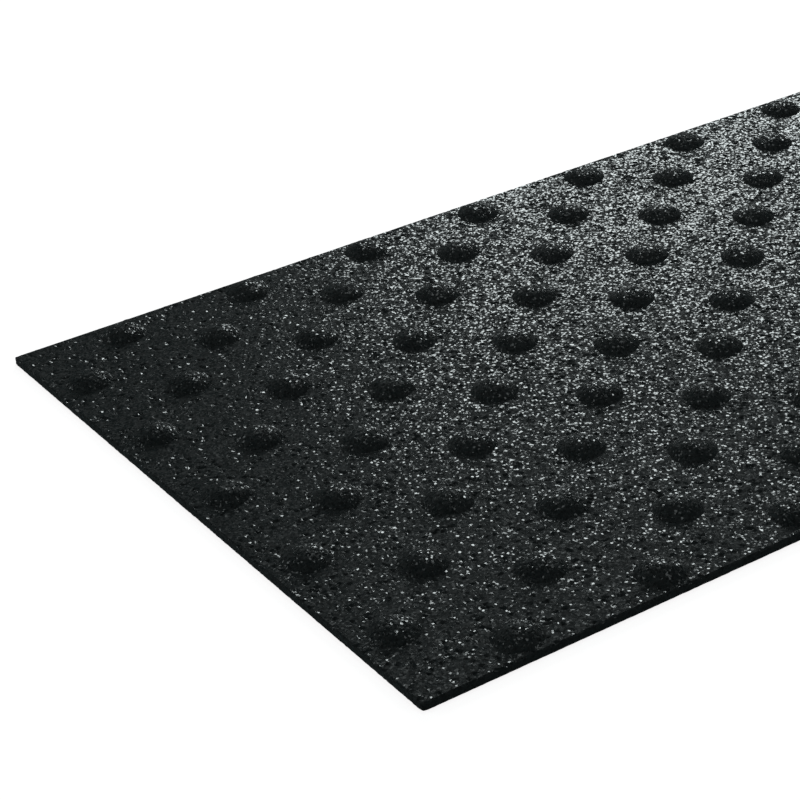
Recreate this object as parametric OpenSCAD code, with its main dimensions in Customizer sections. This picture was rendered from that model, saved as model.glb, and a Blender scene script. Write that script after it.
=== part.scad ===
// Studded mat of bonded rubber granulate.
// A thin flat sheet with square-cut edges carries raised domes in a staggered lattice.
// Each dome is a round plug with a bulging top, bonded into a shallow socket in the sheet.
// The origin is at the middle of the underside. X runs along the length and Z points up.

/* [Lattice] */
// Rows of domes, counted along the length. An odd number makes both ends alike
row_count = 15; // [3:2:31]
// Distance along the length from one row to the next
row_step = 60; // [50:1:80]
// Lines of domes, counted across the width. Rows use the odd and the even lines in turn
line_count = 11; // [3:2:21]
// Distance across the width from one line to the next
line_step = 55.5; // [50:0.5:80]

/* [Sheet] */
// Thickness of the flat sheet
sheet_t = 6; // [5:0.5:15]
// From an end of the sheet to the middle of the first row
end_margin = 30; // [23:1:60]
// From a long side of the sheet to the middle of the outer line
side_margin = 22.5; // [22.5:0.5:60]
// Radius of the four corners, seen from above
corner_r = 3; // [1:0.5:15]

/* [Domes] */
// Diameter of a dome where it meets the sheet
dome_d = 38; // [24:1:44]
// Height of a dome above the sheet
dome_h = 7.5; // [3:0.5:10]
// How deep a dome is set into the sheet
plug_h = 2; // [1:0.5:3]
// Bond line of binder round and under a dome
bond_t = 0.1; // [0.05:0.05:0.3]

/* [Hidden] */
$fn = 64;
socket_d = dome_d + 2 * bond_t;
socket_h = plug_h + bond_t;
sheet_l = (row_count - 1) * row_step + 2 * end_margin;
sheet_w = (line_count - 1) * line_step + 2 * side_margin;
// Radius of the ball whose cap has the dome's diameter and height
cap_r = (pow(dome_d / 2, 2) + pow(dome_h, 2)) / (2 * dome_h);
// How far a tool runs past the face that it cuts
overcut = 1;

function row_name(n) = str("dome_row_", n < 10 ? "0" : "", n);
function row_x(n) = (n - (row_count + 1) / 2) * row_step;
function line_y(m) = (m - (line_count + 1) / 2) * line_step;
// Rows 1, 3, 5 ... use the even lines, and rows 2, 4, 6 ... use the odd ones
function row_lines(n) = [for (m = [1 : line_count]) if ((m + n) % 2 == 1) m];

// Puts its children at every dome place of one row, on the sheet's top face
module at_row(n) {
    for (m = row_lines(n))
        translate([row_x(n), line_y(m), sheet_t])
            children();
}

// The sheet's outline with its four round corners
module sheet_outline() {
    corner_x = sheet_l / 2 - corner_r;
    corner_y = sheet_w / 2 - corner_r;
    square([2 * corner_x, sheet_w], center = true);
    square([sheet_l, 2 * corner_y], center = true);
    for (x = [-corner_x, corner_x], y = [-corner_y, corner_y])
        translate([x, y])
            circle(r = corner_r);
}

// Round blind hole that takes the plug of one dome
module socket() {
    translate([0, 0, -socket_h])
        cylinder(h = socket_h + overcut, d = socket_d);
}

// Low round-topped dome with its plug below
module dome() {
    intersection() {
        translate([0, 0, dome_h - cap_r])
            sphere(r = cap_r);
        cylinder(h = dome_h + overcut, d = dome_d);
    }
    translate([0, 0, -plug_h])
        cylinder(h = plug_h, d = dome_d);
}

module mat_sheet() {
    color([0.16, 0.17, 0.18])
        difference() {
            linear_extrude(height = sheet_t)
                sheet_outline();
            for (n = [1 : row_count])
                at_row(n)
                    socket();
        }
}

module dome_row(n) {
    color([0.11, 0.12, 0.12])
        at_row(n)
            dome();
}

mat_sheet();
for (n = [1 : row_count])
    dome_row(n);
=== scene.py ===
"""Studded mat of bonded rubber granulate: the looks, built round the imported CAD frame.

Every crumb of rubber near a surface is a corner of an irregular, flat-faceted mesh, so the
roughness of the mat is real geometry. Finer cut facets on the crumbs come from the material.
"""

import math

import bpy
import numpy as np
from mathutils import Matrix, Vector
from mathutils.geometry import delaunay_2d_cdt


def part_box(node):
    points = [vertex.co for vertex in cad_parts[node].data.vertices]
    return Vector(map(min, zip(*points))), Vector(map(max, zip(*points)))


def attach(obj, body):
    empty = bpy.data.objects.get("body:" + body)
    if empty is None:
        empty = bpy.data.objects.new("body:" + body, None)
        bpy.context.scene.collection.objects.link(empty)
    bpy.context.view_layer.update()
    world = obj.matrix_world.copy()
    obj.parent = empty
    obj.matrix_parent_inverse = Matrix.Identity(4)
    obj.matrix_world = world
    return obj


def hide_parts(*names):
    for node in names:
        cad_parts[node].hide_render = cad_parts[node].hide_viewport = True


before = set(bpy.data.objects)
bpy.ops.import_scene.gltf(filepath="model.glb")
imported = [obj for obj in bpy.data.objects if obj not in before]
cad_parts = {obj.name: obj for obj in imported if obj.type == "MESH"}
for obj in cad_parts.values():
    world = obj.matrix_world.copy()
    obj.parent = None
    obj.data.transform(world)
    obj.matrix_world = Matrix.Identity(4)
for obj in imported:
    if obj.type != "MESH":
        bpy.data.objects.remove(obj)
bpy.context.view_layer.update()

MM = 0.001
NEARLY_ZERO = 1e-12         # keeps a division from being by zero
SAME_PLACE_DECIMALS = 5     # CAD corners that agree to this many decimals of a metre are one place
RNG = np.random.default_rng(41)

# The CAD sheet and domes, which give every place below
SHEET_LOW, SHEET_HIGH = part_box("mat_sheet")
DOME_ROWS = sorted(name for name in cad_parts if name.startswith("dome_row_"))

# Camera, in metres in the mat's frame
CAMERA_PLACE = Vector((-1.067, -1.306, 0.885))
CAMERA_TARGET = Vector((-0.245, 0.035, 0.006))
CAMERA_ROLL = math.radians(4.11)
LENS_MM = 104.6
SENSOR_MM = 36.0
NEAREST_SEEN = 0.01

# Studio. Bearings are in degrees from +Y towards +X
SKY_COLOUR = (0.78, 1.0, 1.02, 1)
SKY_GLOW = 0.07
OVERHEAD_PLACE = (0.85, 1.05, 2.4)
OVERHEAD_SIZE = 1.4
OVERHEAD_GLOW = 0.95
LAMP_TINT = (0.92, 1.0, 1.0)
BACK_BEARING = 39
BACK_WIDTH = 1.95
BACK_SPAN = (0.95, 2.40)    # heights of the lamp's lower and upper edges
BACK_GLOW = 6.3
SIDE_BEARINGS = (137, 262, 317)
SIDE_WIDTH = 3.0
SIDE_SPAN = (0.3, 2.6)
SIDE_GLOW = 1.2
LAMP_DISTANCE = 5.0
FLOOR_RADIUS = 4.6
COVE_RADIUS = 2.0           # the screen rises from the floor in this curve
SCREEN_HEIGHT = 7.0
FLOOR_GLOW = 0.85
SCREEN_GLOW = 1.1
STAGE_TINT = (1.0, 0.98, 0.98)     # makes up for the lamps' tint
STAGE_PAINT = (0.86, 0.86, 0.86, 1)
STAGE_ROUGH = 0.9
STAGE_SIDES = 96
COVE_STEPS = 12
FLOOR_GAP = 0.1 * MM        # how far the floor lies under the mat

# Granulate of the sheet
CRUMB = 2.65 * MM           # usual distance between crumbs
CRUMB_SHIFT = 0.30          # how far a crumb is off its lattice place, in crumb distances
CRUMB_RELIEF = 0.03 * MM    # how far pressed crumbs are off the mean surface
PIT_SHARE = 0.07            # share of the crumbs that are missing, which leaves a pit
PIT_DEPTH = 1.3 * MM        # depth of the deepest pits
PROUD_SHARE = 0.02          # share of the crumbs that stand proud
PROUD_HEIGHT = 0.35 * MM    # height of the proudest crumbs
LEAST_STEP = 0.35           # the least deep pit and least proud crumb, as a share of the most
UNDERSIDE_CRUMB = 12.0 * MM
UNDERSIDE_RELIEF = 0.12 * MM
CORNER_RADIUS = 3.0 * MM
EDGE_EASE = 0.8 * MM        # height of the worn round along the top edge
EDGE_BAND = 1.3 * MM        # width of that round
CUT_RELIEF = 0.30 * MM      # roughness of the cut side faces
CUT_PROUD = 0.3             # how far their crumbs stand out at most, as a share of that roughness
SIDE_LEVELS = (0.62, 0.36, 0.11)   # heights of the rings of crumbs on them, in sheet thicknesses
JOIN_WITHIN = 1e-7          # corners nearer than this are joined where a flat outline is filled

# Finish of the rubber
SHEET_ALBEDO = 0.009
SHEET_TINT = (0.80, 1.0, 1.05)
DOME_ALBEDO = 0.010
DOME_TINT = (0.82, 1.0, 1.03)
DARK_FACET = 0.3            # the darkest and the palest facet, as shares of the albedo
PALE_FACET = 2.0
RUBBER_IOR = 1.5
FACET = 1.5 * MM            # size of a cut facet
SHEET_LEAN = (0.12, 0.50)   # how far most facets lean, and how far the few most leaning ones do
DOME_LEAN = (0.50, 1.0)
LEAN_POWER = 5.0            # the higher, the fewer facets lean far
SHINY_SHARE = 0.35          # share of the facets that are glossy
SHINY_ROUGH = 0.16
MATT_ROUGH = (0.65, 1.0)    # the other facets, from the least to the most matt
GLOSS_STEP = 0.01           # width of the step from glossy to matt in the ramp

# Domes
DOME_CRUMB = 1.7 * MM
DOME_RELIEF = 0.10 * MM
DOME_SINK = 0.6 * MM        # how far the flared foot goes under the sheet's surface
DOME_FLARE = 0.3 * MM       # how far the foot reaches past the CAD dome
RIM_CLEAR = 0.7             # space inside the rim without crumbs, in crumb distances
PLUG_INSET = 3.4 * MM       # how far the hidden plug's side is in from the foot's
PLUG_STEP = 0.2 * MM        # how far under the foot the plug starts
SOCKET_GAP = 0.7 * MM       # space round the plug and under it


def new_piece(name, points, triangles):
    """A flat-shaded mesh object from an array of points and a list of triangles."""
    mesh = bpy.data.meshes.new(name)
    mesh.from_pydata(points.tolist(), [], triangles)
    mesh.validate()
    piece = bpy.data.objects.new(name, mesh)
    bpy.context.scene.collection.objects.link(piece)
    return piece


def crumb_relief(count, relief, scale=1.0):
    """Heights of crumbs over the mean surface: pressed nearly level, with pits and a few proud ones."""
    heights = RNG.uniform(-relief, relief, count)
    chance = RNG.random(count)
    pits = chance < PIT_SHARE
    proud = chance > 1 - PROUD_SHARE
    share = RNG.uniform(LEAST_STEP, 1.0, count)
    return heights + share * scale * (proud * PROUD_HEIGHT - pits * PIT_DEPTH)


def add_wall(triangles, upper, lower):
    """Adds the triangles between two rings of corners, one under the other."""
    for k in range(len(upper)):
        n = (k + 1) % len(upper)
        triangles.append((upper[k], lower[k], lower[n]))
        triangles.append((upper[k], lower[n], upper[n]))


def eased_steps(length, step, band):
    """Places along one side: a narrow first and last step, and even steps between."""
    count = round((length - 2 * band) / step)
    inner = np.linspace(band, length - band, count + 1)
    return np.concatenate(([0.0], inner, [length]))


def round_corners(x, y, half_x, half_y, radius):
    """Pulls the four square corners of a rectangle in to a radius."""
    cx = np.clip(x, -(half_x - radius), half_x - radius)
    cy = np.clip(y, -(half_y - radius), half_y - radius)
    dx, dy = x - cx, y - cy
    reach = np.hypot(dx, dy)
    pull = np.where(reach > 0, np.maximum(abs(dx), abs(dy)) / np.maximum(reach, NEARLY_ZERO), 1.0)
    return cx + dx * pull, cy + dy * pull


def dome_centres(node):
    """The middles of the separate domes of a CAD row, and their radius."""
    low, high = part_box(node)
    reach = (high.x - low.x) / 2
    ys = np.array([v.co.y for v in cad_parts[node].data.vertices])
    ys = np.unique(ys.round(SAME_PLACE_DECIMALS))
    breaks = np.flatnonzero(np.diff(ys) > reach / 2)
    middle = (low.x + high.x) / 2
    centres = []
    for group in np.split(ys, breaks + 1):
        centres.append(Vector((middle, (group[0] + group[-1]) / 2, SHEET_HIGH.z)))
    return centres, reach


def sheet_mesh(centres, socket_radius, socket_depth):
    """The closed granular sheet: crumbs on top, rough cut sides and a pressed underside."""
    size = SHEET_HIGH - SHEET_LOW
    half_x, half_y = size.x / 2, size.y / 2
    xs = eased_steps(size.x, CRUMB, EDGE_BAND) - half_x
    ys = eased_steps(size.y, CRUMB * math.sqrt(3) / 2, EDGE_BAND) - half_y
    columns, rows = len(xs), len(ys)
    x, y = np.meshgrid(xs, ys)
    inside = np.zeros((rows, columns), bool)
    inside[2:-2, 2:-2] = True
    x[1::2, 2:-2] += CRUMB / 2
    x += inside * RNG.uniform(-1, 1, x.shape) * CRUMB * CRUMB_SHIFT
    y += inside * RNG.uniform(-1, 1, y.shape) * CRUMB * CRUMB_SHIFT
    z = SHEET_HIGH.z + crumb_relief(x.size, CRUMB_RELIEF).reshape(x.shape)
    rim = np.ones((rows, columns), bool)
    rim[1:-1, 1:-1] = False
    z[rim] = SHEET_HIGH.z - EDGE_EASE + RNG.uniform(-1, 1, rim.sum()) * CUT_RELIEF
    x, y = round_corners(x, y, half_x, half_y, CORNER_RADIUS)
    for centre in centres:
        in_socket = np.hypot(x - centre.x, y - centre.y) < socket_radius
        z[in_socket] = SHEET_HIGH.z - socket_depth
    top = np.column_stack((x.ravel(), y.ravel(), z.ravel()))
    index = np.arange(x.size).reshape(x.shape)
    a, b = index[:-1, :-1], index[:-1, 1:]
    c, d = index[1:, :-1], index[1:, 1:]
    even = (np.arange(rows - 1) % 2 == 0)[:, None] & np.ones_like(a, bool)
    first = np.where(even[..., None], np.stack((a, b, c), -1), np.stack((a, b, d), -1))
    second = np.where(even[..., None], np.stack((b, d, c), -1), np.stack((a, d, c), -1))
    triangles = np.concatenate((first.reshape(-1, 3), second.reshape(-1, 3))).tolist()

    # The rim, once round and anticlockwise seen from above
    loop = np.concatenate((index[0, :-1], index[:-1, -1], index[-1, :0:-1], index[:0:-1, 0]))
    points = [top]
    upper = loop
    total = len(top)
    from_middle = top[loop, :2] / np.hypot(top[loop, 0], top[loop, 1])[:, None]
    for level in SIDE_LEVELS + (0.0,):
        ring = top[loop].copy()
        ring[:, :2] += from_middle * RNG.uniform(-1, CUT_PROUD, (len(loop), 1)) * CUT_RELIEF
        ring[:, 2] = SHEET_LOW.z + level * size.z
        if level:
            ring[:, 2] += RNG.uniform(-1, 1, len(loop)) * CUT_RELIEF
        lower = total + np.arange(len(loop))
        add_wall(triangles, upper, lower)
        points.append(ring)
        total += len(loop)
        upper = lower

    # The underside: the last ring filled with coarser crumbs
    ring = points[-1]
    inner_x = np.arange(-half_x + UNDERSIDE_CRUMB, half_x - UNDERSIDE_CRUMB / 2, UNDERSIDE_CRUMB)
    inner_y = np.arange(-half_y + UNDERSIDE_CRUMB, half_y - UNDERSIDE_CRUMB / 2, UNDERSIDE_CRUMB)
    gx, gy = (g.ravel() for g in np.meshgrid(inner_x, inner_y))
    gx = gx + RNG.uniform(-1, 1, gx.size) * UNDERSIDE_CRUMB * CRUMB_SHIFT
    gy = gy + RNG.uniform(-1, 1, gy.size) * UNDERSIDE_CRUMB * CRUMB_SHIFT
    flat = [Vector(p) for p in np.concatenate((ring[:, :2], np.column_stack((gx, gy))))]
    edges = [(k, (k + 1) % len(ring)) for k in range(len(ring))]
    made, _, faces, sources, _, _ = delaunay_2d_cdt(flat, edges, [], 1, JOIN_WITHIN)
    number = {}
    extra = []
    for k, source in enumerate(sources):
        if source and source[0] < len(ring):
            number[k] = total - len(ring) + source[0]
        else:
            number[k] = total + len(extra)
            extra.append((made[k].x, made[k].y, SHEET_LOW.z + RNG.uniform(0, UNDERSIDE_RELIEF)))
    points.append(np.array(extra))
    triangles += [tuple(number[k] for k in reversed(face)) for face in faces]
    return np.concatenate(points), triangles


def dome_template(radius):
    """A flat disc of triangles that every dome is made from: (places, triangles, rim indices)."""
    step = DOME_CRUMB
    reach = int(radius / step) + 2
    places = []
    for row in range(-reach, reach + 1):
        for column in range(-reach, reach + 1):
            p = Vector((step * (column + 0.5 * (row % 2)), step * row * math.sqrt(3) / 2))
            if p.length < radius - RIM_CLEAR * step:
                places.append(p)
    rim_count = round(2 * math.pi * radius / step)
    rim = [Vector((radius * math.cos(a), radius * math.sin(a)))
           for a in np.arange(rim_count) * 2 * math.pi / rim_count]
    edges = [(k, (k + 1) % rim_count) for k in range(rim_count)]
    made, _, faces, sources, _, _ = delaunay_2d_cdt(rim + places, edges, [], 1, JOIN_WITHIN)
    order = {s[0]: k for k, s in enumerate(sources)}
    flat = np.array([p[:] for p in made])
    return flat, [tuple(f) for f in faces], [order[k] for k in range(rim_count)]


def dome_points(centre, radius, height, template, plug_depth):
    """One closed granular dome: the crumbed cap, its flared foot and the hidden plug."""
    flat, faces, rim = template
    turn = RNG.uniform(0, 2 * math.pi)
    ball = (radius ** 2 + height ** 2) / (2 * height)
    u = flat * 1.0
    free = np.ones(len(u), bool)
    free[rim] = False
    u += free[:, None] * RNG.uniform(-1, 1, u.shape) * DOME_CRUMB * CRUMB_SHIFT
    r = np.hypot(u[:, 0], u[:, 1])
    cap = np.sqrt(np.maximum(ball ** 2 - r ** 2, 0)) - (ball - height)
    foot = radius + DOME_FLARE

    # The flare starts two of its widths inside the CAD radius and ends at the foot
    t = np.clip((r - (radius - 2 * DOME_FLARE)) / (3 * DOME_FLARE), 0, 1)
    blend = t * t * (3 - 2 * t)
    z = cap * (1 - blend) - DOME_SINK * blend
    z += free * crumb_relief(len(u), DOME_RELIEF, DOME_CRUMB / CRUMB)
    x = u[:, 0] * math.cos(turn) - u[:, 1] * math.sin(turn)
    y = u[:, 0] * math.sin(turn) + u[:, 1] * math.cos(turn)
    top = np.column_stack((x, y, z))
    points = [top]
    triangles = list(faces)
    upper, total = list(rim), len(top)
    narrowing = (foot - PLUG_INSET) / foot
    for depth in (DOME_SINK + PLUG_STEP, plug_depth):
        ring = top[rim].copy()
        ring[:, :2] *= narrowing
        ring[:, 2] = -depth
        lower = list(range(total, total + len(rim)))
        add_wall(triangles, upper, lower)
        points.append(ring)
        total += len(rim)
        upper = lower
    points.append(np.array([[0.0, 0.0, -plug_depth]]))
    for k in range(len(rim)):
        triangles.append((upper[(k + 1) % len(rim)], upper[k], total))
    return np.concatenate(points) + np.array(centre), triangles


def vector_math(tree, operation, first, second=None, scale=None):
    """A vector maths node; an input is an output socket or a fixed vector."""
    node = tree.nodes.new("ShaderNodeVectorMath")
    node.operation = operation
    tree.links.new(first, node.inputs[0])
    if isinstance(second, tuple):
        node.inputs[1].default_value = second
    elif second is not None:
        tree.links.new(second, node.inputs[1])
    if scale is not None:
        tree.links.new(scale, node.inputs["Scale"])
    return node.outputs["Vector"]


def map_range(tree, value, low, high, to_low, to_high):
    """A number carried in a straight line from one range to another."""
    node = tree.nodes.new("ShaderNodeMapRange")
    tree.links.new(value, node.inputs["Value"])
    node.inputs["From Min"].default_value = low
    node.inputs["From Max"].default_value = high
    node.inputs["To Min"].default_value = to_low
    node.inputs["To Max"].default_value = to_high
    return node.outputs["Result"]


def cells(tree, place, size):
    """Random cells of a size: (a colour for each cell, three more random numbers for it)."""
    voronoi = tree.nodes.new("ShaderNodeTexVoronoi")
    voronoi.inputs["Scale"].default_value = 1 / size
    tree.links.new(place, voronoi.inputs["Vector"])
    noise = tree.nodes.new("ShaderNodeTexWhiteNoise")
    tree.links.new(voronoi.outputs["Color"], noise.inputs["Vector"])
    parts = tree.nodes.new("ShaderNodeSeparateColor")
    tree.links.new(noise.outputs["Color"], parts.inputs["Color"])
    return voronoi.outputs["Color"], parts.outputs


def ramp(tree, value, stops):
    """A colour ramp node, from (place, colour) stops."""
    node = tree.nodes.new("ShaderNodeValToRGB")
    tree.links.new(value, node.inputs["Fac"])
    for _ in stops[2:]:
        node.color_ramp.elements.new(0.5)
    for element, (place, colour) in zip(node.color_ramp.elements, stops):
        element.position = place
        element.color = (*colour, 1)
    return node.outputs["Color"]


def granulate(name, albedo, tint, lean_range):
    """Black rubber crumb: small glossy cut facets, each leaning its own way, among matt ones."""
    material = bpy.data.materials.new(name)
    material.use_nodes = True
    tree = material.node_tree
    shader = tree.nodes["Principled BSDF"]
    shader.inputs["IOR"].default_value = RUBBER_IOR
    place = tree.nodes.new("ShaderNodeTexCoord").outputs["Object"]

    # Each facet leans a little from the crumb's own surface, and a few lean further
    colour, chance = cells(tree, place, FACET)
    power = tree.nodes.new("ShaderNodeMath")
    power.operation = "POWER"
    power.inputs[1].default_value = LEAN_POWER
    tree.links.new(chance["Red"], power.inputs[0])
    lean = map_range(tree, power.outputs["Value"], 0, 1, *lean_range)
    centred = vector_math(tree, "SUBTRACT", colour, (0.5, 0.5, 0.5))
    offset = vector_math(tree, "SCALE", centred, scale=lean)
    surface = tree.nodes.new("ShaderNodeNewGeometry").outputs["Normal"]
    leaned = vector_math(tree, "ADD", surface, offset)
    tree.links.new(vector_math(tree, "NORMALIZE", leaned), shader.inputs["Normal"])

    # A facet is either glossy or more or less matt
    shiny, matt, dull = ((level,) * 3 for level in (SHINY_ROUGH, *MATT_ROUGH))
    steps = [(0, shiny), (SHINY_SHARE, shiny), (SHINY_SHARE + GLOSS_STEP, matt), (1, dull)]
    tree.links.new(ramp(tree, chance["Green"], steps), shader.inputs["Roughness"])

    # Each facet has its own tone
    ends = ((0, DARK_FACET), (1, PALE_FACET))
    tones = [(at, [albedo * share * t for t in tint]) for at, share in ends]
    tree.links.new(ramp(tree, chance["Blue"], tones), shader.inputs["Base Color"])
    return material


def dress(piece, material, slot_name, *replaced):
    """Gives a piece its material and ties it to the CAD."""
    piece.data.materials.append(material)
    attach(piece, "root")
    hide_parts(*replaced)


def make_mat():
    """The sheet, and one piece for each CAD row of domes."""
    sheet_look = granulate("sheet_granulate", SHEET_ALBEDO, SHEET_TINT, SHEET_LEAN)
    dome_look = granulate("dome_granulate", DOME_ALBEDO, DOME_TINT, DOME_LEAN)
    rows = {node: dome_centres(node) for node in DOME_ROWS}
    radius = rows[DOME_ROWS[0]][1]
    low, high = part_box(DOME_ROWS[0])
    height = high.z - SHEET_HIGH.z
    plug_depth = SHEET_HIGH.z - low.z
    centres = [c for places, _ in rows.values() for c in places]
    socket_radius = radius - PLUG_INSET + DOME_FLARE + SOCKET_GAP - CRUMB / 2
    points, triangles = sheet_mesh(centres, socket_radius, plug_depth + SOCKET_GAP)
    dress(new_piece("granulate_sheet", points, triangles), sheet_look, "sheet_granulate", "mat_sheet")
    template = dome_template(radius + DOME_FLARE)
    for node, (places, _) in rows.items():
        points, triangles, total = [], [], 0
        for centre in places:
            p, t = dome_points(centre, radius, height, template, plug_depth)
            points.append(p)
            triangles += [tuple(k + total for k in face) for face in t]
            total += len(p)
        piece = new_piece("granulate_" + node, np.concatenate(points), triangles)
        dress(piece, dome_look, "dome_granulate", node)


def make_camera():
    """The camera, at the mat's viewing angle."""
    data = bpy.data.cameras.new("camera")
    data.lens = LENS_MM
    data.sensor_width = SENSOR_MM
    data.clip_start = NEAREST_SEEN
    camera = bpy.data.objects.new("camera", data)
    aim = (CAMERA_TARGET - CAMERA_PLACE).to_track_quat("-Z", "Y").to_matrix()
    roll = Matrix.Rotation(-CAMERA_ROLL, 3, "Z")
    camera.matrix_world = Matrix.Translation(CAMERA_PLACE) @ (aim @ roll).to_4x4()
    bpy.context.scene.collection.objects.link(camera)
    bpy.context.scene.camera = camera


def softbox(name, place, target, width, height, radiance):
    """A rectangular lamp of a given brightness, which the camera doesn't see."""
    data = bpy.data.lights.new(name, "AREA")
    data.shape = "RECTANGLE"
    data.size, data.size_y = width, height
    data.energy = radiance * math.pi * width * height
    data.color = LAMP_TINT
    lamp = bpy.data.objects.new(name, data)
    lamp.location = place
    lamp.rotation_euler = (Vector(target) - Vector(place)).to_track_quat("-Z", "Y").to_euler()
    lamp.visible_camera = False
    bpy.context.scene.collection.objects.link(lamp)


def standing_lamp(name, bearing, width, span, radiance):
    """An upright softbox some way from the mat, between two heights."""
    turn = math.radians(bearing)
    low, high = span
    middle = (low + high) / 2
    place = (LAMP_DISTANCE * math.sin(turn), LAMP_DISTANCE * math.cos(turn), middle)
    softbox(name, place, (0, 0, middle), width, high - low, radiance)


def stage_piece(name, radii, heights, filled, glow):
    """A pale turned stage surface that is seen, but neither lights the mat nor is mirrored in it."""
    turns = np.arange(STAGE_SIDES) * 2 * math.pi / STAGE_SIDES
    points = [(r * math.cos(a), r * math.sin(a), z) for r, z in zip(radii, heights) for a in turns]
    faces = [tuple(range(STAGE_SIDES))] if filled else []
    for start in range(0, len(points) - STAGE_SIDES, STAGE_SIDES):
        for k in range(STAGE_SIDES):
            n = (k + 1) % STAGE_SIDES
            faces.append((start + k, start + STAGE_SIDES + k, start + STAGE_SIDES + n, start + n))
    mesh = bpy.data.meshes.new(name)
    mesh.from_pydata(points, [], faces)
    mesh.shade_smooth()
    piece = bpy.data.objects.new(name, mesh)
    bpy.context.scene.collection.objects.link(piece)
    paint = bpy.data.materials.new(name + "_paint")
    paint.use_nodes = True
    shader = paint.node_tree.nodes["Principled BSDF"]
    shader.inputs["Base Color"].default_value = STAGE_PAINT
    shader.inputs["Roughness"].default_value = STAGE_ROUGH
    shader.inputs["Emission Color"].default_value = (*STAGE_TINT, 1)
    shader.inputs["Emission Strength"].default_value = glow
    mesh.materials.append(paint)
    piece.visible_glossy = False
    piece.visible_diffuse = False
    return piece


def make_studio():
    """Dim sky, softboxes round the mat, and a white floor that curves up into a screen."""
    world = bpy.data.worlds.new("studio")
    world.use_nodes = True
    sky = world.node_tree.nodes["Background"]
    sky.inputs["Color"].default_value = SKY_COLOUR
    sky.inputs["Strength"].default_value = SKY_GLOW
    bpy.context.scene.world = world
    bpy.context.scene.view_settings.view_transform = "Standard"
    softbox("overhead", OVERHEAD_PLACE, (0, 0, 0), OVERHEAD_SIZE, OVERHEAD_SIZE, OVERHEAD_GLOW)
    standing_lamp("back", BACK_BEARING, BACK_WIDTH, BACK_SPAN, BACK_GLOW)
    for bearing in SIDE_BEARINGS:
        standing_lamp("side_%d" % bearing, bearing, SIDE_WIDTH, SIDE_SPAN, SIDE_GLOW)

    # The floor and the screen that rises from it meet without an edge
    low = SHEET_LOW.z - FLOOR_GAP
    stage_piece("floor", (FLOOR_RADIUS / 2, FLOOR_RADIUS), (low, low), True, FLOOR_GLOW)
    curve = np.linspace(0, math.pi / 2, COVE_STEPS + 1)
    radii = FLOOR_RADIUS + COVE_RADIUS * np.sin(curve)
    heights = low + COVE_RADIUS * (1 - np.cos(curve))
    radii = [*radii, radii[-1]]
    heights = [*heights, SCREEN_HEIGHT]
    screen = stage_piece("screen", radii, heights, False, SCREEN_GLOW)
    screen.visible_shadow = False


make_camera()
make_mat()
make_studio()
